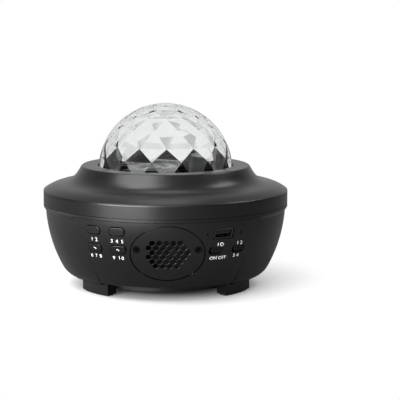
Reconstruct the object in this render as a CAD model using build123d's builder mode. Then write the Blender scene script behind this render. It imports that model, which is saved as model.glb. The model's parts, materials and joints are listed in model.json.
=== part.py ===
from build123d import *
import os
from math import acos, asin, cos, degrees, pi, radians, sin, sqrt, tan

# Star night light projector: a black moulded case under a clear dome that is
# faceted inside. Millimetres, +Z up, the front faces -Y, and the origin is at
# the middle of the base, on the surface that the feet stand on.

os.makedirs("parts", exist_ok=True)

# ---------------------------------------------------------------- case sizes
rim_radius = 82.7          # widest, at the joint between the two shells
joint_z = 56.4             # height of that joint
seam_gap = 0.25            # the dark line between the shells
wall = 2.4                 # moulded wall
floor_z = 7.4              # underside of the bowl
step_depth = 1.55          # the bowl is this much smaller than its rim band
rim_band = 2.0             # height of the straight rim band
rim_slope = 2.4            # height of the slope under the band
bowl_arc = 93.3            # radius of the bowl's flank, seen from the side
bowl_top_angle = 3.7       # lean of the flank under the slope, in degrees
corner_arc = 12.2          # radius between the flank and the floor

cover_height = 25.1        # from the joint to the flat ring round the dome
dome_hole_radius = 46.0
ring_width = 11.67         # from the dome's hole to the top of the S curve
ring_drop = 1.5            # the S curve starts this much lower than the ring
flank_top_angle = 62.8     # its slope there, in degrees below level
flank_top_pull = 15.3      # length of its first handle
skirt_height = 9.1         # from the joint to the end of the S curve
brim_inset = 0.44          # the S curve ends this far inside the rim
flank_end_angle = 34.4
flank_end_pull = 13.4
brim_drop = 1.0            # height of the rounded brim corner
tongue_height = 0.8        # the upper shell's tongue in the rim
tongue_width = 1.5
tongue_gap = 0.2
tongue_step = 0.1          # the tongue stands this far inside the skirt

# ---------------------------------------------------------------------- feet
foot_inset = 21.6          # the feet stand this far inside the rim
foot_depth = 8.6
foot_angle = 52.5          # middle of a foot, from the front
foot_half_span = 13.3
foot_bottom_z = 0.8        # the rubber pad stands this far out
pad_thickness = 1.6
pad_margin = 1.3
foot_round = 0.7

# --------------------------------------------------------------- front panel
panel_top_drop = 2.3       # its top edge, below the joint
panel_bottom_rise = 2.6    # its bottom edge, above the underside of the bowl
panel_top_half = 60.2      # half width at the top, seen from the front
panel_bottom_half = 43.0
panel_arc = 75.0           # radius of its face, seen from the side
panel_top_angle = 1.0
panel_proud = 0.25         # how far its top edge stays inside the rim band
panel_gap = 0.22           # seam between panel and bowl
flange_overlap = 3.0       # rear flange behind the bowl's wall
flange_gap = 0.12
flange_thickness = 1.6
sill_inset = 24.7          # the window's floor edge, inside the rim

# ------------------------------------------------------------------- speaker
speaker_drop = 20.2        # middle of the oval, below the panel's top edge
oval_half_width = 23.75
oval_half_height = 18.35
oval_groove = 0.8
grille_thickness = 2.0
grille_hole_radius = 1.7
grille_hole_bevel = 0.3    # at their front edges
grille_pitch = 4.49        # between neighbouring holes of a row
grille_row_pitch = 3.07
grille_first_row = 7.2     # top row above the middle of the oval
grille_first_column = -9.8
grille_rows = [(5, 0.0), (6, -0.5), (6, 0.0), (6, -0.5), (5, 0.0), (4, 0.5)]
cover_screw_spacing = 39.4
cover_screw_rise = 2.2
cover_screw_hole = 2.5
cover_screw_depth = 4.7    # seat of the head, below the panel's tangent plane
speaker_depth = 8.4        # front of the basket, below the same plane
speaker_radius = 20.0
speaker_opening = 16.6
collar_wall = 1.1          # round the screws of the cover
collar_floor = 0.9
collar_clearance = 0.1
cover_boss_radius = 3.0
ear_spread = 22.4          # from the speaker's middle to its fixing ears
ear_radius = 3.0
ear_screw_length = 3.7
ledge_width = 3.4          # rim that the cover rests on
ledge_wall = 0.75
ledge_thickness = 1.8
magnet_radius = 11.0
magnet_height = 6.0
basket_height = 9.0
basket_plate = 1.0         # thickness of the pressed steel
basket_step = 2.0
surround_roll = 1.6        # half width of the rubber roll round the cone
dust_cap_radius = 5.0
dust_cap_seat = 2.5
dust_cap_rise = 1.2
cone_sheet = 0.5

# ------------------------------------------------------------------ controls
pod_drop = 12.25           # middle of both groups, below the panel's top edge
button_pod_edge = 15.83    # middle of the left group, from the panel's side edge
switch_pod_edge = 16.45    # middle of the right group
button_length = 10.8
button_height = 5.4
button_corner = 2.5
button_gap = 0.35
button_proud = 0.6
button_travel = 0.7
button_pitch_u = 17.1
button_pitch_v = 11.9
button_flange_margin = 1.2 # the flange stands out above and below the cap
button_depth = 4.7         # rear of the cap, below the pod plane
board_depth = 11.0         # front of both small boards
board_thickness = 1.2
board_width = 28.4
board_height = 27.0
board_corner = 1.0
post_radius = 1.6
post_high = 9.8            # where the two posts of a board stand
post_low = -12.2
tact_size = 6.0
tact_height = 3.1
plunger_radius = 1.7
plunger_height = 0.5
stem_radius = 1.5
stem_gap = 0.1             # between a stem and what it moves

switch_pitch = 16.6
switch_v = -6.85
slot_length = 10.3
slot_height = 5.3
knob_length = 7.8
knob_height = 4.7
knob_side_gap = 0.25
knob_recess = 1.0
knob_flange_length = 9.0
knob_flange_height = 6.2
knob_flange_gap = 0.55     # under the skin, which curves down to the sliding flange
knob_depth = 4.7           # rear of the knob, below the pod plane
knob_stub_radius = 1.0
rib_count = 5              # grip grooves across a knob
rib_pitch = 1.1
rib_width = 0.5
rib_depth = 0.35
switch_body_height = 3.5
switch_body_margin = 1.5   # the body is this much smaller than the slot
usb_u = -3.66
usb_v = 4.1
usb_recess_width = 15.4
usb_recess_height = 6.5
usb_recess_depth = 1.6
usb_shell_width = 13.1
usb_shell_height = 5.7
usb_shell_wall = 0.35
usb_shell_rise = 0.4       # the shell stands this far out of the recess floor
usb_back_wall = 1.0
usb_tongue_width = 11.1
usb_tongue_thickness = 1.9
usb_tongue_setback = 1.0
usb_fit = 0.15
microphone_places = [(-15.2, 4.2), (9.2, 4.2)]
microphone_radius = 0.7

# ------------------------------------------------------------ dome and optics
dome_radius = 45.37
dome_sink = 3.76           # middle of the sphere, below the ring
dome_inner_radius = 44.1   # sphere through the inner corners of the facets
facet_count = 14
facet_rings = [(-4.0, 0.0), (12.75, 0.5), (26.45, 0.0), (42.0, 0.5), (55.7, 0.0)]
crown_count = 7
crown_latitude = 65.5
summit_latitude = 77.5     # last ring of corners below the apex
apex_latitude = 90.0
dome_flange_width = 3.5    # outside the hole in the cover
dome_flange_thickness = 2.0
lid_plate = 2.5            # top plate of the upper cover round the dome
gasket_thickness = 0.8

deck_margin = 1.0          # the deck is this much wider than the dome's flange
deck_drop = 9.5            # top of the deck, below the ring
deck_thickness = 2.0
deck_ear_reach = 3.5       # middle of the four ears, outside the deck
deck_ear_radius = 4.0
deck_rim_width = 4.7
boss_radius = 3.5
boss_bore_depth = 5.25
pillar_radius = 4.0
pillar_rise = 3.6          # where the posts of both shells meet, above the joint
pillar_bore_depth = 8.0
case_screw_bite = 12.0     # head of a case screw, below the end of its post
screw_core_radius = 1.45
screw_hole_radius = 1.5
screw_end_gap = 0.5        # a hole is this much deeper than its screw
small_screw_fit = 0.05
head_margin = 0.95         # a head is this much larger than its shank
small_screw_radius = 0.9   # shank of the small board screws
screw_head_height = 1.6
head_clearance = 0.2

gear_module = 1.0
pressure_angle = 20.0
gear_backlash = 0.16
centre_play = 0.1
rotor_teeth = 50
pinion_teeth = 12
grating_teeth = 16
rotor_x = -7.0
rotor_y = 2.0
pinion_direction = -80.0   # from the rotor's middle, degrees from +X
grating_direction = -15.0
rotor_bore_radius = 20.0
running_fit = 0.08
tunnel_inner_radius = 17.0
running_gap = 0.3          # end play of the turning parts
rotor_flange_radius = 26.2
rotor_flange_thickness = 0.8
gear_width = 4.2
clip_angles = [50.0, 170.0, 225.0]
clip_width = 5.0
clip_thickness = 1.6
clip_hook = 1.2
clip_hook_height = 0.9
lens_radius = 22.8
lens_thickness = 1.6
lens_lip = 1.3
ripple_count = 6
ripple_height = 0.7
pinion_shaft_radius = 1.5
motor_width = 12.0
motor_depth = 10.0
gearbox_height = 9.0
motor_height = 15.0
grating_bore_radius = 5.5
sleeve_radius = 6.6
sleeve_height = 8.7        # above its gear
grating_radius = 5.8
grating_thickness = 1.0
laser_radius = 4.5
laser_length = 20.0
laser_collar_width = 1.5
laser_collar_height = 4.0
laser_aperture_radius = 1.5
laser_aperture_depth = 1.5
guide_height = 4.5         # guide tube of the grating wheel, above the deck

led_drop = 18.0            # top of the LED board, below the deck
led_board_thickness = 1.6
led_board_radius = 21.0
led_size = 5.0
led_height = 2.0
led_spacing = 8.0
heat_sink_height = 16.0
heat_sink_base = 3.0
heat_sink_radius = 19.0
fin_radius = 15.5
fin_pitch = 4.0
fin_gap = 2.4
tunnel_foot_radius = 22.0
tunnel_foot_thickness = 2.0
sink_screw_ring = 18.6
sink_screw_turn = 30.0
sink_screw_bite = 1.0
condenser_radius = 16.8
condenser_rise = 7.0       # its seat, above the LED board
condenser_rim = 2.0
condenser_crown = 5.0

# ----------------------------------------------------------------- base parts
base_clearance = 0.5       # between the base plate and the feet
base_depth = 3.2           # the plate stands this far below the bowl
base_lap = 6.0             # the plate is this much wider than the bowl's opening
base_screw_inset = 3.0     # its screws, from its edge
base_boss_radius = 2.6
base_boss_height = 6.0
base_wall = 2.0
base_head_web = 1.0        # under the head of a base screw
base_fit = 0.25
main_board_length = 66.0
main_board_width = 48.0
main_board_corner = 2.0
main_board_y = 8.0
main_board_rise = 6.6      # its underside, above the underside of the bowl
main_board_thickness = 1.6
board_inset = 4.0          # middle of a post, from the board's edges
board_post_radius = 3.0
board_screw_length = 7.0

# ------------------------------------------------------------------ rear jack
jack_z = 24.0
jack_boss_radius = 8.0
jack_recess = 3.42         # its face, inside the flank of the bowl
jack_pocket_radius = 6.0
jack_nose_radius = 3.9
jack_bore_radius = 2.75
jack_pin_radius = 1.0
jack_width = 9.0
jack_height = 11.0
jack_length = 13.0
jack_wall = 2.4
jack_socket_depth = 9.5
jack_pin_setback = 1.0

# ------------------------------------------------------------ derived heights
top_z = joint_z + cover_height
lid_inside_z = top_z - lid_plate
dome_foot_z = lid_inside_z - dome_flange_thickness
deck_top_z = top_z - deck_drop
deck_bottom_z = deck_top_z - deck_thickness
deck_rim_z = dome_foot_z - gasket_thickness
guide_top_z = deck_top_z + guide_height
led_plate_z = deck_top_z - led_drop
condenser_seat_z = led_plate_z + condenser_rise
pillar_joint_z = joint_z + pillar_rise
dome_centre_z = top_z - dome_sink
panel_top_z = joint_z - panel_top_drop
panel_bottom_z = floor_z + panel_bottom_rise
speaker_z = panel_top_z - speaker_drop
pod_z = panel_top_z - pod_drop
base_bottom_z = floor_z - base_depth
main_board_z = floor_z + main_board_rise
inner_floor_z = floor_z + wall

# ------------------------------------------------- derived radii, inside out
skirt_inside = rim_radius - wall
rim_inner_radius = skirt_inside - tongue_width - tongue_step
foot_outer_radius = rim_radius - foot_inset
pillar_ring = foot_outer_radius - foot_depth / 2
base_radius = foot_outer_radius - foot_depth - base_clearance
base_opening_radius = base_radius - base_lap
base_screw_ring = base_radius - base_screw_inset
window_floor_radius = rim_radius - sill_inset
dome_flange_radius = dome_hole_radius + dome_flange_width
deck_radius = dome_flange_radius + deck_margin
deck_ear_ring = deck_radius + deck_ear_reach


# ------------------------------------------------------------------- helpers
def finish(piece, name):
    """Label a finished piece and write it."""
    piece.part.label = name
    export_step(piece.part, f"parts/{name}.step")


def slope(angle):
    """Radius and height of a unit step along a flank that falls at this angle."""
    return cos(radians(angle)), -sin(radians(angle))


def on_arc(centre, radius, angle):
    """Point of a flank arc whose surface leans this far from upright."""
    away = slope(angle)
    return centre[0] + radius * away[0], centre[1] + radius * away[1]


def at_height(centre, radius, height):
    """Radius of a flank arc at a height."""
    return centre[0] + sqrt(radius**2 - (height - centre[1]) ** 2)


def around(count, radius, first=0.0):
    """Evenly spaced places on a circle."""
    return PolarLocations(radius, count, start_angle=first)


# The bowl's flank and the panel's face are arcs about these centres.
bowl_radius = rim_radius - step_depth
bowl_top_z = joint_z - rim_band - rim_slope
bowl_centre = (
    bowl_radius - bowl_arc * cos(radians(bowl_top_angle)),
    bowl_top_z + bowl_arc * sin(radians(bowl_top_angle)),
)
corner_z = floor_z + corner_arc
bowl_low_angle = degrees(asin((bowl_centre[1] - corner_z) / (bowl_arc - corner_arc)))
corner_centre = on_arc(bowl_centre, bowl_arc - corner_arc, bowl_low_angle)

panel_radius = rim_radius - panel_proud
panel_centre = (
    panel_radius - panel_arc * cos(radians(panel_top_angle)),
    panel_top_z + panel_arc * sin(radians(panel_top_angle)),
)
pod_half_width = panel_bottom_half + (panel_top_half - panel_bottom_half) * (
    (pod_z - panel_bottom_z) / (panel_top_z - panel_bottom_z)
)
pod_radius = at_height(panel_centre, panel_arc, pod_z)
button_pod_angle = -degrees(asin((pod_half_width - button_pod_edge) / pod_radius))
switch_pod_angle = degrees(asin((pod_half_width - switch_pod_edge) / pod_radius))
jack_face_y = at_height(bowl_centre, bowl_arc, jack_z) - jack_recess


def bowl_flank(inset, low_angle):
    """Bowl surface from its top down to an angle, moved inwards by inset."""
    radius = bowl_arc - inset
    middle = (bowl_top_angle + low_angle) / 2
    ThreePointArc(
        on_arc(bowl_centre, radius, bowl_top_angle),
        on_arc(bowl_centre, radius, middle),
        on_arc(bowl_centre, radius, low_angle),
    )


def bowl_corner(inset):
    """Rounded corner between the flank and the floor."""
    radius = corner_arc - inset
    ThreePointArc(
        on_arc(corner_centre, radius, bowl_low_angle),
        on_arc(corner_centre, radius, (bowl_low_angle + 90) / 2),
        on_arc(corner_centre, radius, 90),
    )


def panel_curve(inset):
    """Ends and middle of the panel's face, moved inwards by inset."""
    radius = panel_arc - inset
    points = []
    for height in (panel_top_z, (panel_top_z + panel_bottom_z) / 2, panel_bottom_z):
        points.append((at_height(panel_centre, radius, height), height))
    return points


def make_panel_core(inset):
    """Everything inside the panel's face, moved inwards by inset."""
    with BuildPart() as core:
        with BuildSketch(Plane.XZ):
            with BuildLine():
                top, middle, bottom = panel_curve(inset)
                ThreePointArc(top, middle, bottom)
                Line(bottom, (0, panel_bottom_z))
                Line((0, panel_bottom_z), (0, panel_top_z))
                Line((0, panel_top_z), top)
            make_face()
        revolve(axis=Axis.Z)
    return core.part


def make_bowl_core(inset):
    """Everything inside the bowl's skin, moved inwards by inset."""
    top = on_arc(bowl_centre, bowl_arc - inset, bowl_top_angle)
    with BuildPart() as core:
        with BuildSketch(Plane.XZ):
            with BuildLine():
                bowl_flank(inset, bowl_low_angle)
                bowl_corner(inset)
                Polyline(
                    (corner_centre[0], floor_z + inset),
                    (0, floor_z + inset),
                    (0, joint_z),
                    (top[0], joint_z),
                    top,
                )
            make_face()
        revolve(axis=Axis.Z)
    return core.part


def panel_plane(angle, height):
    """Plane on the panel's face: X to the right, Y up, Z outwards."""
    lean = asin((panel_centre[1] - height) / panel_arc)
    turn = radians(angle)
    out = Vector(cos(lean) * sin(turn), -cos(lean) * cos(turn), -sin(lean))
    radius = at_height(panel_centre, panel_arc, height)
    origin = Vector(radius * sin(turn), -radius * cos(turn), height)
    across = Vector(cos(turn), sin(turn), 0)
    return Plane(origin=origin, x_dir=across, z_dir=out)


def keystone(extra, top=panel_top_z, bottom=panel_bottom_z, mode=Mode.ADD):
    """The panel's outline seen from the front, grown sideways by extra."""
    lean = (panel_top_half - panel_bottom_half) / (panel_top_z - panel_bottom_z)
    top_half = panel_top_half + extra + lean * (top - panel_top_z)
    bottom_half = panel_bottom_half + extra + lean * (bottom - panel_bottom_z)
    with BuildLine() as edge:
        Polyline(
            (-bottom_half, bottom),
            (bottom_half, bottom),
            (top_half, top),
            (-top_half, top),
            close=True,
        )
    make_face(edge.edges(), mode=mode)


def disc(plane, radius, height, mode=Mode.ADD):
    """Round bar from a plane along its normal."""
    with BuildSketch(plane) as outline:
        Circle(radius)
    extrude(outline.sketch, amount=height, mode=mode)


def ring(plane, outer, inner, height, mode=Mode.ADD):
    """Tube from a plane along its normal."""
    with BuildSketch(plane) as outline:
        Circle(outer)
        Circle(inner, mode=Mode.SUBTRACT)
    extrude(outline.sketch, amount=height, mode=mode)


def crowned_top(radius, edge_z, rise):
    """Half section of a shallow dome, from its edge up to the axis."""
    arc = (radius**2 + rise**2) / (2 * rise)
    half = asin(radius / arc) / 2
    middle = (arc * sin(half), edge_z + rise - arc + arc * cos(half))
    ThreePointArc((radius, edge_z), middle, (0, edge_z + rise))


def level(height, x=0.0, y=0.0):
    """Level plane at a height, over a place."""
    return Plane(origin=(x, y, height), z_dir=(0, 0, 1))


def make_screws(name, seats, length, core=screw_core_radius):
    """Pan-head screws: each seat plane is under a head and looks along the shank."""
    with BuildPart() as screws:
        for seat in seats:
            disc(seat, core, length)
            disc(seat, core + head_margin, -screw_head_height)
    finish(screws, name)


def ring_places(radius, angles):
    """Points on a circle, at angles from the front."""
    return [Vector(radius * sin(radians(a)), -radius * cos(radians(a)), 0) for a in angles]


foot_angles = [foot_angle, 180 - foot_angle, 180 + foot_angle, -foot_angle]
ear_angles = [0, 90, 180, 270]
pillar_places = ring_places(pillar_ring, foot_angles)
ear_places = ring_places(deck_ear_ring, ear_angles)
screw_head_radius = screw_core_radius + head_margin
panel_core_skin = make_panel_core(wall)
panel_core_deep = make_panel_core(wall / 2)


def seats_at(places, height, look=1):
    """Level seat planes at places, looking up or down."""
    return [Plane(origin=(p.X, p.Y, height), z_dir=(0, 0, look)) for p in places]


# --------------------------------------------------------------- upper cover
flank_top = (dome_hole_radius + ring_width, top_z - ring_drop)
flank_end = (rim_radius - brim_inset, joint_z + skirt_height)


def flank_ends(inset):
    """The S curve's four control points, moved inwards by inset."""
    top_step = slope(flank_top_angle)
    end_step = slope(flank_end_angle)
    start = (flank_top[0] + inset * top_step[1], flank_top[1] - inset * top_step[0])
    end = (flank_end[0] + inset * end_step[1], flank_end[1] - inset * end_step[0])
    first = (start[0] + flank_top_pull * top_step[0], start[1] + flank_top_pull * top_step[1])
    last = (end[0] - flank_end_pull * end_step[0], end[1] - flank_end_pull * end_step[1])
    return start, first, last, end


cover_foot_z = joint_z + seam_gap / 2
outer_flank = flank_ends(0)
inner_flank = flank_ends(wall)
top_corner = (flank_top[0] - ring_drop / tan(radians(flank_top_angle)), top_z)
top_round = (top_corner[0] - ring_drop / 2, top_z)
brim_corner = (rim_radius, flank_end[1] - brim_inset * tan(radians(flank_end_angle)))

with BuildPart() as upper_cover:
    # posts for the case screws and bosses for the optics deck, kept under the skin
    for place in pillar_places:
        disc(level(pillar_joint_z, place.X, place.Y), pillar_radius, top_z - pillar_joint_z)
    for place in ear_places:
        disc(level(deck_top_z, place.X, place.Y), boss_radius, top_z - deck_top_z)
    under_skin = flank_ends(wall / 2)
    with BuildSketch(Plane.XZ):
        with BuildLine():
            Bezier(*under_skin)
            Line(under_skin[3], (under_skin[3][0], pillar_joint_z))
            Line((under_skin[3][0], pillar_joint_z), (0, pillar_joint_z))
            Line((0, pillar_joint_z), (0, top_z - lid_plate / 2))
            Line((0, top_z - lid_plate / 2), under_skin[0])
        make_face()
    revolve(axis=Axis.Z, mode=Mode.INTERSECT)
    # the shell
    with BuildSketch(Plane.XZ):
        with BuildLine():
            Line((dome_hole_radius, top_z), top_round)
            Bezier(top_round, top_corner, outer_flank[0])
            Bezier(*outer_flank)
            Bezier(outer_flank[3], brim_corner, (rim_radius, flank_end[1] - brim_drop))
            Polyline(
                (rim_radius, flank_end[1] - brim_drop),
                (rim_radius, cover_foot_z),
                (skirt_inside, cover_foot_z),
                (skirt_inside, inner_flank[3][1] - brim_drop),
                inner_flank[3],
            )
            Bezier(*inner_flank)
            Polyline(
                inner_flank[0],
                (inner_flank[0][0] - brim_drop, lid_inside_z),
                (dome_hole_radius, lid_inside_z),
                (dome_hole_radius, top_z),
            )
        make_face()
    revolve(axis=Axis.Z)
    # tongue that centres the shell in the rim of the bowl
    tongue_outer = rim_inner_radius + tongue_width
    tongue_foot = joint_z - tongue_height
    tongue_root = joint_z + tongue_width
    with BuildSketch(Plane.XZ):
        with BuildLine():
            Polyline(
                (rim_inner_radius, tongue_foot),
                (tongue_outer, tongue_foot),
                (tongue_outer, cover_foot_z),
                (skirt_inside + wall / 2, cover_foot_z),
                (skirt_inside + wall / 2, tongue_root + tongue_width),
                (rim_inner_radius, tongue_root),
                close=True,
            )
        make_face()
    revolve(axis=Axis.Z)
    for place in pillar_places:
        post_end = level(pillar_joint_z, place.X, place.Y)
        disc(post_end, screw_hole_radius, pillar_bore_depth, Mode.SUBTRACT)
    for place in ear_places:
        boss_end = level(deck_top_z, place.X, place.Y)
        disc(boss_end, screw_hole_radius, boss_bore_depth, Mode.SUBTRACT)
finish(upper_cover, "upper_cover")

# -------------------------------------------------------------------- dome
def facet_ring(latitude, shift, count):
    """Corners of one ring of facets, on the inner sphere."""
    rise = radians(latitude)
    corners = []
    for index in range(count):
        turn = 2 * pi * (index + shift) / count
        across = dome_inner_radius * cos(rise)
        height = dome_centre_z + dome_inner_radius * sin(rise)
        corners.append(Vector(across * sin(turn), -across * cos(turn), height))
    return corners


def triangle(corners):
    """Flat three-cornered face."""
    return Face(Wire.make_polygon(corners))


def facet_hollow():
    """The dome's inside: rows of triangles between rings set half a step apart."""
    rings = [facet_ring(latitude, shift, facet_count) for latitude, shift in facet_rings]
    faces = [Face(Wire.make_polygon(rings[0]))]
    for row in range(len(rings) - 1):
        low = rings[row]
        high = rings[row + 1]
        ahead = 1 if facet_rings[row][1] < facet_rings[row + 1][1] else 0
        for index in range(facet_count):
            after = (index + 1) % facet_count
            faces.append(triangle([low[index], low[after], high[(index + 1 - ahead) % facet_count]]))
            faces.append(triangle([high[index], high[after], low[(index + ahead) % facet_count]]))
    crown = facet_ring(crown_latitude, 0.5, crown_count)
    summit = facet_ring(summit_latitude, 0.0, crown_count)
    apex = facet_ring(apex_latitude, 0.0, 1)[0]
    last = rings[-1]
    for index in range(crown_count):
        after = (index + 1) % crown_count
        middle = (2 * index + 1) % facet_count
        end = (2 * index + 2) % facet_count
        faces.append(triangle([last[2 * index], last[middle], crown[index]]))
        faces.append(triangle([last[middle], last[end], crown[index]]))
        faces.append(triangle([crown[index], crown[after], last[end]]))
        faces.append(triangle([crown[index], crown[after], summit[after]]))
        faces.append(triangle([summit[index], summit[after], crown[index]]))
        faces.append(triangle([summit[index], summit[after], apex]))
    return Solid(Shell(faces))


with BuildPart() as faceted_dome:
    with BuildSketch(Plane.XZ):
        foot_radius = sqrt(dome_radius**2 - (dome_foot_z - dome_centre_z) ** 2)
        with BuildLine():
            ThreePointArc(
                (foot_radius, dome_foot_z),
                (dome_radius * cos(pi / 4), dome_centre_z + dome_radius * sin(pi / 4)),
                (0, dome_centre_z + dome_radius),
            )
            Line((0, dome_centre_z + dome_radius), (0, dome_foot_z))
            Line((0, dome_foot_z), (foot_radius, dome_foot_z))
        make_face()
    revolve(axis=Axis.Z)
    disc(level(dome_foot_z), dome_flange_radius, dome_flange_thickness)
    add(facet_hollow(), mode=Mode.SUBTRACT)
finish(faceted_dome, "faceted_dome")

with BuildPart() as dome_gasket:
    ring(level(dome_foot_z), dome_flange_radius, dome_hole_radius, -gasket_thickness)
finish(dome_gasket, "dome_gasket")

# ------------------------------------------------------------------ optics deck
rotor_low_z = deck_top_z + running_gap
gear_low_z = rotor_low_z + rotor_flange_thickness
gear_top_z = gear_low_z + gear_width
tunnel_outer_radius = rotor_bore_radius - running_fit
tunnel_top_z = gear_top_z - running_gap
sleeve_top_z = gear_top_z + sleeve_height


def beside_rotor(direction, teeth):
    """Middle of a wheel that meshes with the rotor."""
    reach = gear_module * (rotor_teeth + teeth) / 2 + centre_play
    turn = radians(direction)
    return rotor_x + reach * cos(turn), rotor_y + reach * sin(turn)


rotor_axis = Axis((rotor_x, rotor_y, 0), (0, 0, 1))
rotor_side = Plane(origin=(rotor_x, rotor_y, 0), x_dir=(1, 0, 0), z_dir=(0, -1, 0))
pinion_x, pinion_y = beside_rotor(pinion_direction, pinion_teeth)
grating_x, grating_y = beside_rotor(grating_direction, grating_teeth)
sink_places = []
for index in range(3):
    turn = radians(sink_screw_turn + 120 * index)
    sink_places.append(
        Vector(rotor_x + sink_screw_ring * cos(turn), rotor_y + sink_screw_ring * sin(turn), 0)
    )
guide_radius = grating_bore_radius - running_fit
small_gear_low_z = gear_low_z + running_gap
guide_shoulder_z = small_gear_low_z - running_gap

with BuildPart() as optics_deck:
    disc(level(deck_bottom_z), deck_radius, deck_thickness)
    for place in ear_places:
        disc(level(deck_bottom_z, place.X, place.Y), deck_ear_radius, deck_thickness)
    ring(level(deck_top_z), deck_radius, deck_radius - deck_rim_width, deck_rim_z - deck_top_z)
    # light tunnel: the lamp hangs on its foot and the rotor turns on its top
    disc(level(led_plate_z, rotor_x, rotor_y), tunnel_foot_radius, tunnel_foot_thickness)
    disc(level(led_plate_z, rotor_x, rotor_y), tunnel_outer_radius, tunnel_top_z - led_plate_z)
    # guide tube and shoulder of the grating wheel
    disc(level(deck_top_z, grating_x, grating_y), sleeve_radius, guide_shoulder_z - deck_top_z)
    disc(level(deck_top_z, grating_x, grating_y), guide_radius, guide_top_z - deck_top_z)
    # snap clips that hold the rotor down
    clip_foot = rotor_flange_radius + running_gap
    clip_top = gear_top_z + running_gap + clip_hook_height
    for clip_angle in clip_angles:
        clip_frame = Plane(
            origin=(rotor_x, rotor_y, deck_top_z),
            x_dir=(cos(radians(clip_angle)), sin(radians(clip_angle)), 0),
            z_dir=(0, 0, 1),
        )
        hook_frame = clip_frame.offset(clip_top - clip_hook_height - deck_top_z)
        with BuildSketch(clip_frame):
            with Locations((clip_foot + clip_thickness / 2, 0)):
                Rectangle(clip_thickness, clip_width)
        extrude(amount=clip_top - deck_top_z)
        with BuildSketch(hook_frame):
            with Locations((clip_foot + (clip_thickness - clip_hook) / 2, 0)):
                Rectangle(clip_hook + clip_thickness, clip_width)
        extrude(amount=clip_hook_height)
    # bores
    disc(level(condenser_seat_z, rotor_x, rotor_y), tunnel_inner_radius, top_z, Mode.SUBTRACT)
    disc(level(0, rotor_x, rotor_y), condenser_radius - condenser_rim, top_z, Mode.SUBTRACT)
    disc(level(0, grating_x, grating_y), laser_radius + running_fit, sleeve_top_z, Mode.SUBTRACT)
    disc(level(0, pinion_x, pinion_y), pinion_shaft_radius + head_clearance, top_z, Mode.SUBTRACT)
    for place in ear_places:
        disc(level(0, place.X, place.Y), screw_hole_radius, top_z, Mode.SUBTRACT)
    for place in sink_places:
        sink_bore = level(led_plate_z, place.X, place.Y)
        sink_bore_depth = tunnel_foot_thickness + sink_screw_bite + screw_end_gap
        disc(sink_bore, screw_hole_radius, sink_bore_depth, Mode.SUBTRACT)
finish(optics_deck, "optics_deck")
deck_screw_length = deck_thickness + boss_bore_depth - screw_end_gap
make_screws("deck_screws", seats_at(ear_places, deck_bottom_z), deck_screw_length)


# ------------------------------------------------------------------ gear train
def involute(angle):
    """Involute function of an angle in radians."""
    return tan(angle) - angle


def draw_gear(teeth, first_tooth):
    """Outline of a spur wheel with one tooth centred at an angle in degrees."""
    pitch_radius = gear_module * teeth / 2
    base_radius = pitch_radius * cos(radians(pressure_angle))
    root_radius = pitch_radius - 1.25 * gear_module
    tip_radius = pitch_radius + gear_module
    half_tooth = (pi * gear_module / 2 - gear_backlash) / 2 / pitch_radius
    flank = []
    for radius in sorted({root_radius, max(root_radius, base_radius), pitch_radius, tip_radius}):
        pressure = acos(min(1.0, base_radius / radius))
        half_angle = half_tooth + involute(radians(pressure_angle)) - involute(pressure)
        flank.append((radius, half_angle))
    outline = []
    for index in range(teeth):
        middle = radians(first_tooth) + 2 * pi * index / teeth
        for radius, half_angle in flank:
            outline.append((radius * cos(middle - half_angle), radius * sin(middle - half_angle)))
        for radius, half_angle in reversed(flank):
            outline.append((radius * cos(middle + half_angle), radius * sin(middle + half_angle)))
    with BuildLine() as edge:
        Polyline(*outline, close=True)
    make_face(edge.edges())


def meshing_tooth(direction, teeth):
    """Angle of a tooth of the smaller wheel, so that it meshes with the rotor."""
    step = 360 / rotor_teeth
    past = round(direction / step) * step - direction
    return direction + 180 - past * rotor_teeth / teeth + 180 / teeth


with BuildPart() as wave_rotor:
    disc(level(rotor_low_z, rotor_x, rotor_y), rotor_flange_radius, rotor_flange_thickness)
    with BuildSketch(level(gear_low_z, rotor_x, rotor_y)):
        draw_gear(rotor_teeth, 0.0)
    extrude(amount=gear_width)
    lip_radius = gear_module * rotor_teeth / 2 - 1.25 * gear_module - head_clearance
    disc(level(gear_top_z, rotor_x, rotor_y), lip_radius, lens_lip)
    disc(level(gear_top_z, rotor_x, rotor_y), lens_radius + running_fit, lens_lip, Mode.SUBTRACT)
    disc(level(0, rotor_x, rotor_y), rotor_bore_radius, top_z, Mode.SUBTRACT)
finish(wave_rotor, "wave_rotor")

with BuildPart() as wave_lens:
    # ripples on top throw the moving water pattern
    ripple_step = lens_radius / ripple_count
    lens_top = gear_top_z + lens_thickness
    with BuildSketch(rotor_side):
        with BuildLine():
            for index in range(ripple_count):
                near = index * ripple_step
                ThreePointArc(
                    (near, lens_top),
                    (near + ripple_step / 2, lens_top + ripple_height),
                    (near + ripple_step, lens_top),
                )
            Polyline(
                (lens_radius, lens_top),
                (lens_radius, gear_top_z),
                (0, gear_top_z),
                (0, lens_top),
            )
        make_face()
    revolve(axis=rotor_axis)
finish(wave_lens, "wave_lens")

shaft_low_z = deck_bottom_z - running_gap
with BuildPart() as drive_pinion:
    with BuildSketch(level(small_gear_low_z, pinion_x, pinion_y)):
        draw_gear(pinion_teeth, meshing_tooth(pinion_direction, pinion_teeth))
    extrude(amount=gear_top_z - small_gear_low_z)
    disc(level(shaft_low_z, pinion_x, pinion_y), pinion_shaft_radius, gear_top_z - shaft_low_z)
finish(drive_pinion, "drive_pinion")

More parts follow.
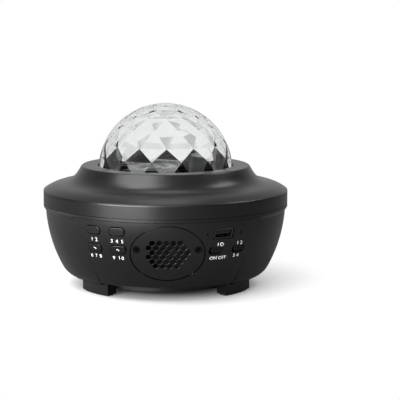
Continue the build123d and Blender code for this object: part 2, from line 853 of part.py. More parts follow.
with BuildPart() as grating_gear:
    with BuildSketch(level(small_gear_low_z, grating_x, grating_y)):
        draw_gear(grating_teeth, meshing_tooth(grating_direction, grating_teeth))
    extrude(amount=gear_top_z - small_gear_low_z)
    disc(level(gear_top_z, grating_x, grating_y), sleeve_radius, sleeve_top_z - gear_top_z)
    bore_depth = sleeve_top_z - 2 * grating_thickness
    disc(level(0, grating_x, grating_y), grating_bore_radius, bore_depth, Mode.SUBTRACT)
    disc(level(0, grating_x, grating_y), laser_radius, sleeve_top_z, Mode.SUBTRACT)
    seat = level(sleeve_top_z - grating_thickness, grating_x, grating_y)
    disc(seat, grating_radius + running_fit, grating_thickness, Mode.SUBTRACT)
finish(grating_gear, "grating_gear")

with BuildPart() as star_grating:
    disc(seat, grating_radius, grating_thickness)
finish(star_grating, "star_grating")

# ------------------------------------------------------- motor, laser and lamp
motor_frame = level(shaft_low_z, pinion_x, pinion_y)
with BuildPart() as motor_gearbox:
    with BuildSketch(motor_frame):
        Rectangle(motor_width, motor_depth)
    extrude(amount=-gearbox_height)
finish(motor_gearbox, "motor_gearbox")

with BuildPart() as drive_motor:
    with BuildSketch(motor_frame.offset(-gearbox_height)):
        Circle(motor_width / 2)
        Rectangle(motor_width, motor_depth, mode=Mode.INTERSECT)
    extrude(amount=-motor_height)
finish(drive_motor, "drive_motor")

with BuildPart() as laser_module:
    disc(level(guide_top_z, grating_x, grating_y), laser_radius, -laser_length)
    collar_plane = level(deck_bottom_z, grating_x, grating_y)
    disc(collar_plane, laser_radius + laser_collar_width, -laser_collar_height)
    aperture = level(guide_top_z, grating_x, grating_y)
    disc(aperture, laser_aperture_radius, -laser_aperture_depth, Mode.SUBTRACT)
finish(laser_module, "laser_module")

rim_z = condenser_seat_z + condenser_rim
with BuildPart() as condenser_lens:
    with BuildSketch(rotor_side):
        with BuildLine():
            crowned_top(condenser_radius, rim_z, condenser_crown)
            Polyline(
                (0, rim_z + condenser_crown),
                (0, condenser_seat_z),
                (condenser_radius, condenser_seat_z),
                (condenser_radius, rim_z),
            )
        make_face()
    revolve(axis=rotor_axis)
finish(condenser_lens, "condenser_lens")

with BuildPart() as led_board:
    disc(level(led_plate_z, rotor_x, rotor_y), led_board_radius, -led_board_thickness)
    with BuildSketch(level(led_plate_z, rotor_x, rotor_y)):
        with around(3, sink_screw_ring, sink_screw_turn):
            Circle(screw_hole_radius)
    extrude(amount=-led_board_thickness, mode=Mode.SUBTRACT)
finish(led_board, "led_board")

with BuildPart() as led_emitters:
    with BuildSketch(level(led_plate_z, rotor_x, rotor_y)):
        with GridLocations(led_spacing, led_spacing, 2, 2):
            RectangleRounded(led_size, led_size, led_size / 10)
    extrude(amount=led_height)
finish(led_emitters, "led_emitters")

sink_top_z = led_plate_z - led_board_thickness
sink_screw_length = heat_sink_base + led_board_thickness + tunnel_foot_thickness + sink_screw_bite
with BuildPart() as heat_sink:
    disc(level(sink_top_z, rotor_x, rotor_y), led_board_radius, -heat_sink_base)
    fin_plane = level(sink_top_z - heat_sink_base, rotor_x, rotor_y)
    disc(fin_plane, fin_radius, heat_sink_base - heat_sink_height)
    with BuildSketch(fin_plane):
        fins = int(2 * heat_sink_radius / fin_pitch)
        with GridLocations(fin_pitch, fin_pitch, fins, 1):
            Rectangle(fin_gap, 2 * heat_sink_radius)
    extrude(amount=heat_sink_base - heat_sink_height, mode=Mode.SUBTRACT)
    with BuildSketch(level(0, rotor_x, rotor_y)):
        with around(3, sink_screw_ring, sink_screw_turn):
            Circle(screw_hole_radius)
    extrude(amount=top_z, mode=Mode.SUBTRACT)
finish(heat_sink, "heat_sink")
make_screws("heat_sink_screws", seats_at(sink_places, sink_top_z - heat_sink_base), sink_screw_length)

# --------------------------------------------------------------- lower housing
screw_seat_z = pillar_joint_z - case_screw_bite
window_gap_z = panel_top_z + panel_gap


def foot_sketch(margin):
    """Plan of the four curved feet, kept inside by a margin."""
    inner = foot_outer_radius - foot_depth + margin
    outer = foot_outer_radius - margin
    span = foot_half_span - degrees(margin / foot_outer_radius)
    for angle in foot_angles:
        ends = []
        for part_span in (-span, 0, span):
            turn = radians(angle + part_span - 90)
            ends.append((cos(turn), sin(turn)))
        with BuildLine() as edge:
            ThreePointArc(*[(outer * x, outer * y) for x, y in ends])
            Line((outer * ends[2][0], outer * ends[2][1]), (inner * ends[2][0], inner * ends[2][1]))
            ThreePointArc(*[(inner * x, inner * y) for x, y in reversed(ends)])
            Line((inner * ends[0][0], inner * ends[0][1]), (outer * ends[0][0], outer * ends[0][1]))
        make_face(edge.edges())


with BuildPart() as panel_window:
    # the opening in the bowl for the front panel
    with BuildSketch(Plane.XZ):
        keystone(panel_gap, window_gap_z, -panel_bottom_z)
    extrude(amount=rim_radius + wall)
    disc(level(-panel_bottom_z), window_floor_radius, joint_z * 2, Mode.SUBTRACT)

with BuildPart() as jack_boss:
    with BuildSketch(Plane(origin=(0, 0, jack_z), z_dir=(0, 1, 0), x_dir=(-1, 0, 0))):
        Circle(jack_boss_radius)
    extrude(amount=rim_radius)
    add(make_bowl_core(wall / 2), mode=Mode.INTERSECT)
    with BuildSketch(Plane(origin=(0, 0, jack_z), z_dir=(0, 1, 0), x_dir=(-1, 0, 0))):
        Circle(jack_boss_radius)
    extrude(amount=jack_face_y - jack_wall, mode=Mode.SUBTRACT)

with BuildPart() as lower_housing:
    with BuildSketch(Plane.XZ):
        with BuildLine():
            Polyline(
                (rim_inner_radius, bowl_top_z),
                (rim_inner_radius, joint_z - seam_gap / 2),
                (rim_radius, joint_z - seam_gap / 2),
                (rim_radius, joint_z - rim_band),
                (bowl_radius, bowl_top_z),
            )
            bowl_flank(0, bowl_low_angle)
            bowl_corner(0)
            Polyline(
                (corner_centre[0], floor_z),
                (base_opening_radius, floor_z),
                (base_opening_radius, inner_floor_z),
                (corner_centre[0], inner_floor_z),
            )
            bowl_corner(wall)
            bowl_flank(wall, bowl_low_angle)
            Line(on_arc(bowl_centre, bowl_arc - wall, bowl_top_angle), (rim_inner_radius, bowl_top_z))
        make_face()
    revolve(axis=Axis.Z)
    # rebate for the upper shell's tongue
    ring(
        level(joint_z),
        rim_inner_radius + tongue_width + tongue_gap,
        rim_inner_radius - tongue_gap,
        -tongue_height - tongue_gap,
        Mode.SUBTRACT,
    )
    add(panel_window.part, mode=Mode.SUBTRACT)
    # posts for the long case screws, over the feet
    post_low_z = inner_floor_z - wall / 2
    for place in pillar_places:
        disc(level(post_low_z, place.X, place.Y), pillar_radius, pillar_joint_z - post_low_z)
    # bosses of the base screws
    with BuildSketch(level(floor_z + base_fit)):
        with around(4, base_screw_ring):
            Circle(base_boss_radius)
    extrude(amount=base_boss_height)
    # feet
    with BuildSketch(level(foot_bottom_z)):
        foot_sketch(0)
    extrude(amount=post_low_z - foot_bottom_z)
    fillet(edges().group_by(Axis.Z)[0], foot_round)
    with BuildSketch(level(foot_bottom_z)):
        foot_sketch(pad_margin)
    extrude(amount=pad_thickness - foot_bottom_z, mode=Mode.SUBTRACT)
    for place in pillar_places:
        disc(level(0, place.X, place.Y), screw_head_radius + head_clearance, screw_seat_z, Mode.SUBTRACT)
        disc(level(0, place.X, place.Y), screw_hole_radius, pillar_joint_z, Mode.SUBTRACT)
    with BuildSketch(level(0)):
        with around(4, base_screw_ring):
            Circle(screw_hole_radius)
    extrude(amount=floor_z + base_boss_height - wall / 2, mode=Mode.SUBTRACT)
    # socket of the power lead
    add(jack_boss.part)
    rear = Plane(origin=(0, jack_face_y, jack_z), z_dir=(0, 1, 0), x_dir=(-1, 0, 0))
    disc(rear, jack_pocket_radius, jack_boss_radius, Mode.SUBTRACT)
    disc(rear, jack_nose_radius + base_fit, -2 * jack_wall, Mode.SUBTRACT)
finish(lower_housing, "lower_housing")

case_screw_length = case_screw_bite + pillar_bore_depth - screw_end_gap
make_screws("case_screws", seats_at(pillar_places, screw_seat_z), case_screw_length)

with BuildPart() as foot_pads:
    with BuildSketch(level(0)):
        foot_sketch(pad_margin + base_fit / 2)
    extrude(amount=pad_thickness)
finish(foot_pads, "foot_pads")

# ------------------------------------------------------------------ base plate
base_screw_places = ring_places(base_screw_ring, ear_angles)
spigot_radius = base_opening_radius - base_fit
board_posts = []
for x_side in (-1, 1):
    for y_side in (-1, 1):
        post_x = x_side * (main_board_length / 2 - board_inset)
        post_y = main_board_y + y_side * (main_board_width / 2 - board_inset)
        board_posts.append(Vector(post_x, post_y, 0))

board_post_z = base_bottom_z + base_wall / 2
board_hole_depth = board_screw_length - main_board_thickness + screw_end_gap
base_seat_z = floor_z - base_head_web

with BuildPart() as base_plate:
    disc(level(base_bottom_z), base_radius, base_depth)
    disc(level(floor_z), spigot_radius, wall)
    disc(level(base_bottom_z + base_wall), spigot_radius - base_wall, top_z, Mode.SUBTRACT)
    for place in board_posts:
        disc(level(board_post_z, place.X, place.Y), board_post_radius, main_board_z - board_post_z)
        disc(level(main_board_z, place.X, place.Y), screw_hole_radius, -board_hole_depth, Mode.SUBTRACT)
    for place in base_screw_places:
        head_room = level(base_seat_z, place.X, place.Y)
        disc(head_room, screw_head_radius + head_clearance, -floor_z, Mode.SUBTRACT)
        disc(level(floor_z, place.X, place.Y), screw_hole_radius, -floor_z, Mode.SUBTRACT)
finish(base_plate, "base_plate")
make_screws("base_screws", seats_at(base_screw_places, base_seat_z), base_boss_height - wall / 2)

with BuildPart() as main_board:
    with BuildSketch(level(main_board_z)):
        with Locations((0, main_board_y)):
            RectangleRounded(main_board_length, main_board_width, main_board_corner)
        for place in board_posts:
            with Locations((place.X, place.Y)):
                Circle(screw_hole_radius, mode=Mode.SUBTRACT)
    extrude(amount=main_board_thickness)
finish(main_board, "main_board")
board_top_z = main_board_z + main_board_thickness
make_screws("main_board_screws", seats_at(board_posts, board_top_z, -1), board_screw_length)

# what stands on the main board: x, y, width, depth and height of each part
board_chips = [
    (-14.0, 4.0, 10.0, 10.0, 1.8),
    (6.0, 12.0, 7.0, 5.0, 1.6),
    (6.0, -2.0, 7.0, 5.0, 1.6),
    (19.0, 27.0, 12.0, 6.0, 6.5),
    (-19.0, 27.0, 12.0, 6.0, 6.5),
    (0.0, -13.0, 16.0, 6.0, 6.5),
]
board_cans = [(20.0, 6.0, 4.0, 11.0), (28.0, 14.0, 3.2, 9.0), (-27.0, 4.0, 3.2, 9.0)]
with BuildPart() as main_board_components:
    for x, y, width, depth, height in board_chips:
        with BuildSketch(level(board_top_z, x, y)):
            Rectangle(width, depth)
        extrude(amount=height)
    for x, y, radius, height in board_cans:
        disc(level(board_top_z, x, y), radius, height)
finish(main_board_components, "main_board_components")

# ---------------------------------------------------------------- front panel
speaker_plane = panel_plane(0, speaker_z)
speaker_front = speaker_plane.offset(-speaker_depth)
button_plane = panel_plane(button_pod_angle, pod_z)
switch_plane = panel_plane(switch_pod_angle, pod_z)
panel_skin_gap = wall + running_gap
reach = rim_radius + wall
through = 2 * board_depth
collar_radius = cover_screw_hole + collar_wall
collar_depth = cover_screw_depth + collar_floor
post_places = [(0, post_high), (0, post_low)]
post_hole_radius = small_screw_radius + small_screw_fit


def cover_screw_spots():
    """Both screws of the speaker cover, on the speaker's plane."""
    half = cover_screw_spacing / 2
    return [(-half, cover_screw_rise), (half, cover_screw_rise)]


def ear_spots():
    """The four fixing ears round the speaker, on its plane."""
    side = ear_spread / sqrt(2)
    return [(-side, -side), (side, -side), (side, side), (-side, side)]


def bars(plane, spots, radius, height, mode=Mode.ADD):
    """Round bars at several spots of a plane."""
    with BuildSketch(plane) as outline:
        with Locations(*spots):
            Circle(radius)
    extrude(outline.sketch, amount=height, mode=mode)


def oval(grow, mode=Mode.ADD):
    """The speaker cover's outline seen from the front, grown by some margin."""
    with Locations((0, speaker_z)):
        Ellipse(oval_half_width + grow, oval_half_height + grow, mode=mode)


button_spots = {
    "upper_left_button": (-button_pitch_u / 2, button_pitch_v / 2),
    "upper_right_button": (button_pitch_u / 2, button_pitch_v / 2),
    "lower_left_button": (-button_pitch_u / 2, -button_pitch_v / 2),
    "lower_right_button": (button_pitch_u / 2, -button_pitch_v / 2),
}
knob_spots = {
    "power_switch_knob": (-switch_pitch / 2, switch_v),
    "source_switch_knob": (switch_pitch / 2, switch_v),
}
knob_shift = (slot_length - knob_length) / 2 - knob_side_gap
flange_height = button_height + 2 * button_flange_margin

with BuildPart() as panel_flange:
    # lies behind the edge of the bowl's opening
    add(make_bowl_core(wall + flange_gap))
    with BuildSketch(Plane.XZ):
        keystone(flange_overlap, bottom=corner_z - corner_arc / 2)
        keystone(-flange_overlap, bottom=0, top=joint_z, mode=Mode.SUBTRACT)
    extrude(amount=reach, mode=Mode.INTERSECT)
    add(make_bowl_core(wall + flange_gap + flange_thickness), mode=Mode.SUBTRACT)

with BuildPart() as panel_bridge:
    # joins that flange to the panel's own edge
    add(panel_core_deep)
    with BuildSketch(Plane.XZ):
        keystone(0)
        keystone(-flange_overlap, bottom=0, top=joint_z, mode=Mode.SUBTRACT)
    extrude(amount=reach, mode=Mode.INTERSECT)
    add(make_bowl_core(wall + flange_gap + flange_thickness), mode=Mode.SUBTRACT)

with BuildPart() as panel_skin:
    add(make_panel_core(0))
    add(panel_core_skin, mode=Mode.SUBTRACT)
    # sill along the bottom, over the edge of the bowl's floor
    with BuildSketch(level(panel_bottom_z)):
        Circle(at_height(panel_centre, panel_arc - wall / 2, panel_bottom_z))
        Circle(window_floor_radius - flange_overlap, mode=Mode.SUBTRACT)
    extrude(amount=wall)
    with BuildSketch(Plane.XZ):
        keystone(0)
    extrude(amount=reach, mode=Mode.INTERSECT)

with BuildPart() as cover_ledge:
    # rim that the speaker cover rests on
    add(make_panel_core(grille_thickness + base_fit))
    add(make_panel_core(grille_thickness + base_fit + ledge_thickness), mode=Mode.SUBTRACT)
    with BuildSketch(Plane.XZ):
        oval(oval_groove / 2 + ledge_wall)
        oval(oval_groove / 2 - ledge_width, mode=Mode.SUBTRACT)
    extrude(amount=reach, mode=Mode.INTERSECT)

with BuildPart() as cover_pocket:
    # the oval hollow that the cover sits in
    with BuildSketch(Plane.XZ):
        oval(oval_groove / 2)
    extrude(amount=reach)
    add(make_panel_core(grille_thickness + base_fit), mode=Mode.SUBTRACT)

with BuildPart() as cap_clearance:
    # room behind the skin for the flanges of buttons and knobs
    with BuildSketch(button_plane.offset(-board_depth)):
        with Locations(*button_spots.values()):
            Rectangle(button_length + 2 * button_gap, flange_height + 2 * button_gap)
    extrude(amount=board_depth)
    with BuildSketch(switch_plane.offset(-board_depth)):
        with Locations(*knob_spots.values()):
            Rectangle(
                knob_flange_length + 2 * knob_shift + 2 * button_gap,
                knob_flange_height + 2 * button_gap,
            )
    extrude(amount=board_depth)
    add(panel_core_skin, mode=Mode.INTERSECT)

with BuildPart() as front_panel:
    # speaker ring, bosses, board posts and the pad of the socket, under the skin
    ring(speaker_front, speaker_radius, speaker_opening, speaker_depth)
    bars(speaker_front, ear_spots(), ear_radius, speaker_depth)
    bars(speaker_front, cover_screw_spots(), cover_boss_radius, speaker_depth)
    for pod in (button_plane, switch_plane):
        bars(pod.offset(-board_depth), post_places, post_radius, board_depth)
    with BuildSketch(switch_plane.offset(-2 * wall)):
        with Locations((usb_u, usb_v)):
            RectangleRounded(usb_recess_width + wall, usb_recess_height + wall, wall / 2)
    extrude(amount=2 * wall)
    add(panel_core_deep, mode=Mode.INTERSECT)
    add(cover_ledge.part)
    add(cap_clearance.part, mode=Mode.SUBTRACT)
    add(panel_skin.part)
    add(panel_bridge.part)
    add(panel_flange.part)
    # the speaker opening and its screws
    add(cover_pocket.part, mode=Mode.SUBTRACT)
    disc(speaker_front, speaker_opening, speaker_depth, Mode.SUBTRACT)
    collar_floor_plane = speaker_plane.offset(-collar_depth - collar_clearance)
    bars(collar_floor_plane, cover_screw_spots(), collar_radius + base_fit, through, Mode.SUBTRACT)
    bars(speaker_front, cover_screw_spots(), screw_hole_radius, through, Mode.SUBTRACT)
    bars(speaker_front, ear_spots(), screw_hole_radius, ear_radius, Mode.SUBTRACT)
    for pod in (button_plane, switch_plane):
        bars(pod.offset(-board_depth), post_places, post_hole_radius, ear_radius * 2, Mode.SUBTRACT)
    # openings of the controls
    with BuildSketch(button_plane.offset(-board_depth)):
        with Locations(*button_spots.values()):
            RectangleRounded(
                button_length + 2 * button_gap,
                button_height + 2 * button_gap,
                button_corner + button_gap,
            )
    extrude(amount=through, mode=Mode.SUBTRACT)
    with BuildSketch(switch_plane.offset(-board_depth)):
        with Locations(*knob_spots.values()):
            SlotOverall(slot_length, slot_height)
    extrude(amount=through, mode=Mode.SUBTRACT)
    with BuildSketch(switch_plane.offset(-usb_recess_depth)):
        with Locations((usb_u, usb_v)):
            RectangleRounded(usb_recess_width, usb_recess_height, button_gap)
    extrude(amount=through, mode=Mode.SUBTRACT)
    with BuildSketch(switch_plane.offset(-board_depth)):
        with Locations((usb_u, usb_v)):
            Rectangle(usb_shell_width + 2 * usb_fit, usb_shell_height + 2 * usb_fit)
    extrude(amount=through, mode=Mode.SUBTRACT)
    bars(switch_plane.offset(-board_depth), microphone_places, microphone_radius, through, Mode.SUBTRACT)
    # room for the posts over the front feet
    for place in pillar_places:
        disc(level(0, place.X, place.Y), pillar_radius + running_gap, pillar_joint_z, Mode.SUBTRACT)
finish(front_panel, "front_panel")

# -------------------------------------------------------------- speaker cover
with BuildPart() as cover_collars:
    bars(speaker_plane.offset(-collar_depth), cover_screw_spots(), collar_radius, through)
    add(make_panel_core(grille_thickness / 2), mode=Mode.INTERSECT)

def grille_holes():
    """Middles of the holes in front of the speaker, as X and Z."""
    holes = []
    for row, (count, shift) in enumerate(grille_rows):
        for column in range(count):
            hole_x = grille_first_column + (column + shift) * grille_pitch
            holes.append((hole_x, speaker_z + grille_first_row - row * grille_row_pitch))
    return holes


with BuildPart() as hole_bevels:
    for hole_x, hole_z in grille_holes():
        hole_angle = degrees(asin(hole_x / at_height(panel_centre, panel_arc, hole_z)))
        with BuildSketch(panel_plane(hole_angle, hole_z).offset(-2 * grille_hole_bevel)) as hole_edge:
            Circle(grille_hole_radius - grille_hole_bevel)
        extrude(hole_edge.sketch, amount=3 * grille_hole_bevel, taper=-45)

with BuildPart() as speaker_cover:
    add(make_panel_core(0))
    add(make_panel_core(grille_thickness), mode=Mode.SUBTRACT)
    with BuildSketch(Plane.XZ):
        oval(-oval_groove / 2)
    extrude(amount=reach, mode=Mode.INTERSECT)
    add(cover_collars.part)
    with BuildSketch(Plane.XZ):
        with Locations(*grille_holes()):
            Circle(grille_hole_radius)
    extrude(amount=reach, mode=Mode.SUBTRACT)
    add(hole_bevels.part, mode=Mode.SUBTRACT)
    head_seat = speaker_plane.offset(-cover_screw_depth)
    bars(head_seat, cover_screw_spots(), cover_screw_hole, through, Mode.SUBTRACT)
    bars(speaker_front, cover_screw_spots(), screw_hole_radius, through, Mode.SUBTRACT)
finish(speaker_cover, "speaker_cover")


def seats_on(plane, spots, look=1):
    """Seat planes at spots of a plane, looking along its normal or against it."""
    planes = []
    for spot in spots:
        origin = plane.from_local_coords(Vector(spot[0], spot[1], 0))
        planes.append(Plane(origin=origin, z_dir=plane.z_dir * look))
    return planes


cover_seats = seats_on(head_seat, cover_screw_spots(), -1)
make_screws("speaker_cover_screws", cover_seats, speaker_depth - cover_screw_depth - running_gap)

# --------------------------------------------------------------------- speaker
flange_rear = speaker_front.offset(-basket_plate)
cone_depth = basket_height - 2 * basket_plate
speaker_axis = Axis(flange_rear.origin, speaker_plane.z_dir)
speaker_side = Plane(origin=flange_rear.origin, x_dir=speaker_plane.x_dir, z_dir=-speaker_plane.y_dir)
bowl_inside = speaker_opening - head_clearance
with BuildPart() as speaker_basket:
    with BuildSketch(speaker_side):
        with BuildLine():
            Polyline(
                (speaker_radius, basket_plate),
                (bowl_inside, basket_plate),
                (bowl_inside, -basket_step),
                (magnet_radius - basket_plate, basket_plate - cone_depth),
                (0, basket_plate - cone_depth),
                (0, -cone_depth),
                (magnet_radius, -cone_depth),
                (bowl_inside + basket_plate, -basket_step),
                (bowl_inside + basket_plate, 0),
                (speaker_radius, 0),
                close=True,
            )
        make_face()
    revolve(axis=speaker_axis)
    bars(flange_rear, ear_spots(), ear_radius, basket_plate)
    bars(speaker_front.offset(-through), ear_spots(), screw_hole_radius, 2 * through, Mode.SUBTRACT)
    disc(flange_rear.offset(-basket_step), bowl_inside, speaker_depth, Mode.SUBTRACT)
finish(speaker_basket, "speaker_basket")

basket_rear = flange_rear.offset(-cone_depth)
with BuildPart() as speaker_magnet:
    disc(basket_rear, magnet_radius, -magnet_height)
finish(speaker_magnet, "speaker_magnet")
ear_seats = seats_on(flange_rear, ear_spots())
make_screws("speaker_screws", ear_seats, ear_screw_length)

surround_radius = bowl_inside - running_gap
cone_edge = surround_radius - 2 * surround_roll
cone_low = -cone_depth + basket_plate + running_gap
cap_edge = cone_low + dust_cap_seat
with BuildPart() as speaker_cone:
    # surround roll, paper cone and dust cap turned round the speaker's axis
    with BuildSketch(speaker_side):
        with BuildLine():
            ThreePointArc(
                (surround_radius, 0),
                (surround_radius - surround_roll, surround_roll),
                (cone_edge, 0),
            )
            Line((cone_edge, 0), (dust_cap_radius, cap_edge))
            crowned_top(dust_cap_radius, cap_edge, dust_cap_rise)
            Polyline(
                (0, cap_edge + dust_cap_rise),
                (0, cone_low),
                (dust_cap_radius, cone_low),
                (cone_edge, -cone_sheet),
                (surround_radius, -cone_sheet),
                (surround_radius, 0),
            )
        make_face()
    revolve(axis=speaker_axis)
finish(speaker_cone, "speaker_cone")

# --------------------------------------------------------------------- buttons
cap_core = make_panel_core(-button_proud)
cap_flange_core = make_panel_core(panel_skin_gap)
tact_top_depth = board_depth - tact_height
plunger_top_depth = tact_top_depth - plunger_height
stem_end_depth = plunger_top_depth - button_travel - stem_gap

for name, spot in button_spots.items():
    with BuildPart() as cap_wing:
        with BuildSketch(button_plane.offset(-button_depth)):
            with Locations(spot):
                Rectangle(button_length, flange_height)
        extrude(amount=button_depth)
        add(cap_flange_core, mode=Mode.INTERSECT)
    with BuildPart() as cap:
        with BuildSketch(button_plane.offset(-button_depth)):
            with Locations(spot):
                RectangleRounded(button_length, button_height, button_corner)
        extrude(amount=through)
        add(cap_core, mode=Mode.INTERSECT)
        outer_face = cap.faces().sort_by(Axis(button_plane.origin, button_plane.z_dir))[-1]
        fillet(outer_face.edges(), button_proud / 2)
        add(cap_wing.part)
        bars(button_plane.offset(-stem_end_depth), [spot], stem_radius, stem_end_depth - button_depth)
    finish(cap, name)

board_v = (post_high + post_low) / 2
with BuildPart() as button_board:
    with BuildSketch(button_plane.offset(-board_depth)):
        with Locations((0, board_v)):
            RectangleRounded(board_width, board_height, board_corner)
    extrude(amount=-board_thickness)
    bars(button_plane.offset(-board_depth), post_places, post_hole_radius, -board_thickness, Mode.SUBTRACT)
finish(button_board, "button_board")

with BuildPart() as tact_switches:
    with BuildSketch(button_plane.offset(-board_depth)):
        with Locations(*button_spots.values()):
            Rectangle(tact_size, tact_size)
    extrude(amount=tact_height)
    bars(button_plane.offset(-tact_top_depth), button_spots.values(), plunger_radius, plunger_height)
finish(tact_switches, "tact_switches")

# --------------------------------------------------------------- slide switches
knob_core = make_panel_core(knob_recess)
knob_flange_core = make_panel_core(wall + knob_flange_gap)
switch_body_depth = board_depth - switch_body_height
stub_length = switch_body_depth - knob_depth - stem_gap
for name, spot in knob_spots.items():
    knob_spot = (spot[0] + knob_shift, spot[1])
    with BuildPart() as grip_grooves:
        with BuildSketch(switch_plane.offset(-knob_depth)):
            with Locations(knob_spot):
                with GridLocations(rib_pitch, 0, rib_count, 1):
                    Rectangle(rib_width, knob_height)
        extrude(amount=through)
        add(make_panel_core(knob_recess + rib_depth), mode=Mode.SUBTRACT)
    with BuildPart() as knob_wing:
        with BuildSketch(switch_plane.offset(-knob_depth)):
            with Locations(knob_spot):
                Rectangle(knob_flange_length, knob_flange_height)
        extrude(amount=knob_depth)
        add(knob_flange_core, mode=Mode.INTERSECT)
    with BuildPart() as knob:
        with BuildSketch(switch_plane.offset(-knob_depth)):
            with Locations(knob_spot):
                SlotOverall(knob_length, knob_height)
        extrude(amount=through)
        add(knob_core, mode=Mode.INTERSECT)
        add(grip_grooves.part, mode=Mode.SUBTRACT)
        add(knob_wing.part)
        bars(switch_plane.offset(-knob_depth), [knob_spot], knob_stub_radius, -stub_length)
    finish(knob, name)

with BuildPart() as slide_switch_bodies:
    with BuildSketch(switch_plane.offset(-board_depth)):
        with Locations(*knob_spots.values()):
            Rectangle(slot_length - switch_body_margin, slot_height - switch_body_margin)
    extrude(amount=switch_body_height)
finish(slide_switch_bodies, "slide_switch_bodies")

with BuildPart() as control_board:
    with BuildSketch(switch_plane.offset(-board_depth)):
        with Locations((0, board_v)):
            RectangleRounded(board_width, board_height, board_corner)
    extrude(amount=-board_thickness)
    bars(switch_plane.offset(-board_depth), post_places, post_hole_radius, -board_thickness, Mode.SUBTRACT)
finish(control_board, "control_board")
board_seats = []
for pod in (button_plane, switch_plane):
    board_seats += seats_on(pod.offset(-board_depth - board_thickness), post_places)
make_screws("board_screws", board_seats, board_thickness + ear_radius * 1.5, small_screw_radius)

# --------------------------------------------------------------------- sockets
usb_front_depth = usb_recess_depth - usb_shell_rise
usb_length = board_depth - usb_front_depth
with BuildPart() as usb_port_shell:
    with BuildSketch(switch_plane.offset(-board_depth)):
        with Locations((usb_u, usb_v)):
            RectangleRounded(usb_shell_width, usb_shell_height, usb_shell_wall * 2)
    extrude(amount=usb_length)
    with BuildSketch(switch_plane.offset(-board_depth + usb_back_wall)):
        with Locations((usb_u, usb_v)):
            RectangleRounded(
                usb_shell_width - 2 * usb_shell_wall,
                usb_shell_height - 2 * usb_shell_wall,
                usb_shell_wall,
            )
    extrude(amount=usb_length, mode=Mode.SUBTRACT)
finish(usb_port_shell, "usb_port_shell")

with BuildPart() as usb_port_tongue:
    tongue_v = usb_v + usb_shell_height / 2 - usb_shell_wall - usb_tongue_thickness
    with BuildSketch(switch_plane.offset(-board_depth + usb_back_wall)):
        with Locations((usb_u, tongue_v)):
            Rectangle(usb_tongue_width, usb_tongue_thickness)
    extrude(amount=usb_length - usb_back_wall - usb_tongue_setback)
finish(usb_port_tongue, "usb_port_tongue")

jack_rear = Plane(origin=(0, jack_face_y, jack_z), z_dir=(0, 1, 0), x_dir=(-1, 0, 0))
with BuildPart() as power_jack:
    disc(jack_rear, jack_nose_radius, -jack_wall)
    with BuildSketch(jack_rear.offset(-jack_wall)):
        Rectangle(jack_width, jack_height)
    extrude(amount=-jack_length)
    disc(jack_rear, jack_bore_radius, -jack_socket_depth, Mode.SUBTRACT)
finish(power_jack, "power_jack")

with BuildPart() as power_jack_pin:
    disc(jack_rear.offset(-jack_socket_depth), jack_pin_radius, jack_socket_depth - jack_pin_setback)
finish(power_jack_pin, "power_jack_pin")
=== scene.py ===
import json
import math

import bpy
from mathutils import Matrix, Vector

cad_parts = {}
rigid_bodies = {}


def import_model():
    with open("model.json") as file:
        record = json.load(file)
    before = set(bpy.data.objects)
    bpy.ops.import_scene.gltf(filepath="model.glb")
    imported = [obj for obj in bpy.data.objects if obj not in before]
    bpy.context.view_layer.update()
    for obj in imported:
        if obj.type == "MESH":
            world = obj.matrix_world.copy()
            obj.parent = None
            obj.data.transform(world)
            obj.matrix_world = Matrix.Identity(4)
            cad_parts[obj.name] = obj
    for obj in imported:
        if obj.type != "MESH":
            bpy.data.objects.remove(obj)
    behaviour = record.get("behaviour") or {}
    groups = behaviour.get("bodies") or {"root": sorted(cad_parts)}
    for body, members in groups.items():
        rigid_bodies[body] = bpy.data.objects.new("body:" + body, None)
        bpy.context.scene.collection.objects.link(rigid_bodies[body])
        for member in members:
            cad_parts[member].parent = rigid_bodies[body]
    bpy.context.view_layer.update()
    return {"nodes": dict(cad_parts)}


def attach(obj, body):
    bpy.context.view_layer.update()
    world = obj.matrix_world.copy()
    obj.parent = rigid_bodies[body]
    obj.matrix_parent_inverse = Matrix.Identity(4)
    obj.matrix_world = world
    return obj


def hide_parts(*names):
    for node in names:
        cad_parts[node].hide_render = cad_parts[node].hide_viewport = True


# Star night light projector: finishes, printed marks, screw heads and a plain
# white studio round the solid parts. Metres; a length in millimetres is
# written with mm().

for leftover in list(bpy.data.objects):
    bpy.data.objects.remove(leftover)
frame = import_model()
nodes = frame["nodes"]


def mm(length):
    """Millimetres as metres."""
    return length / 1000


# ------------------------------------------------------------------- materials
def linear(code):
    """An sRGB hex code as a linear colour."""
    parts = [int(code[i : i + 2], 16) / 255 for i in (1, 3, 5)]
    lit = [p / 12.92 if p <= 0.04045 else ((p + 0.055) / 1.055) ** 2.4 for p in parts]
    return (*lit, 1.0)


def per(length):
    """Scale of a pattern whose features are this many millimetres across."""
    return 1000 / length


def add_node(tree, kind, inputs=None, **settings):
    """Adds one node, with its settings and its input values or links."""
    node = tree.nodes.new("ShaderNode" + kind)
    for key, value in settings.items():
        setattr(node, key, value)
    for key, value in (inputs or {}).items():
        if isinstance(value, bpy.types.NodeSocket):
            tree.links.new(value, node.inputs[key])
        else:
            node.inputs[key].default_value = value
    return node


def blend(tree, share, first, second):
    """A colour between two, by a share that a pattern gives."""
    inputs = {"Fac": share, "Color1": first, "Color2": second}
    return add_node(tree, "MixRGB", inputs).outputs["Color"]


def ranged(tree, value, low, high, start=0.0, end=1.0, **settings):
    """A value between start and end, brought into low to high."""
    inputs = {"Value": value, "From Min": start, "From Max": end, "To Min": low, "To Max": high}
    return add_node(tree, "MapRange", inputs, **settings).outputs["Result"]


def reckon(tree, operation, first, second, **settings):
    """The result of a sum or another operation on two values."""
    node = add_node(tree, "Math", {0: first, 1: second}, operation=operation, **settings)
    return node.outputs["Value"]


